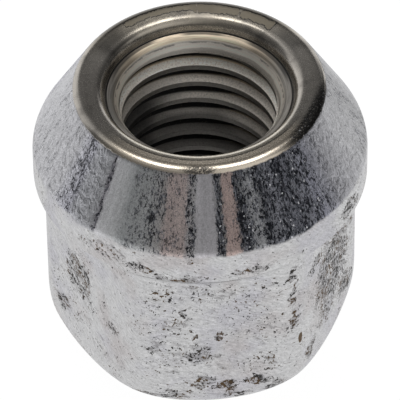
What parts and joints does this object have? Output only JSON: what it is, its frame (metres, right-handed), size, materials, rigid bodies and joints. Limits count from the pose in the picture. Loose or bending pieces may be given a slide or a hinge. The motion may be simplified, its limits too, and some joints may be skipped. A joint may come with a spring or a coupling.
{
  "type": "lug nut",
  "caption": "Open-ended wheel nut with a conical seat, a dished rim round its threaded hole, a shoulder band and a rounded hexagon; clamps a road wheel to its stud.",
  "frame": {"origin": "centre of the flat face at the hexagon's end, on which the nut stands", "axes": "+Z along the thread from the hexagon's end to the seat cone; -Y out of one flat of the hexagon"},
  "size_m": [0.0226, 0.0224, 0.0214],
  "materials": {
    "plated_steel": "worn bright plating, satin on the hexagon, with dark specks and streaks on the seat cone"
  },
  "bodies": {
    "root": {"lug_nut": "plated_steel"}
  },
  "joints": []
}
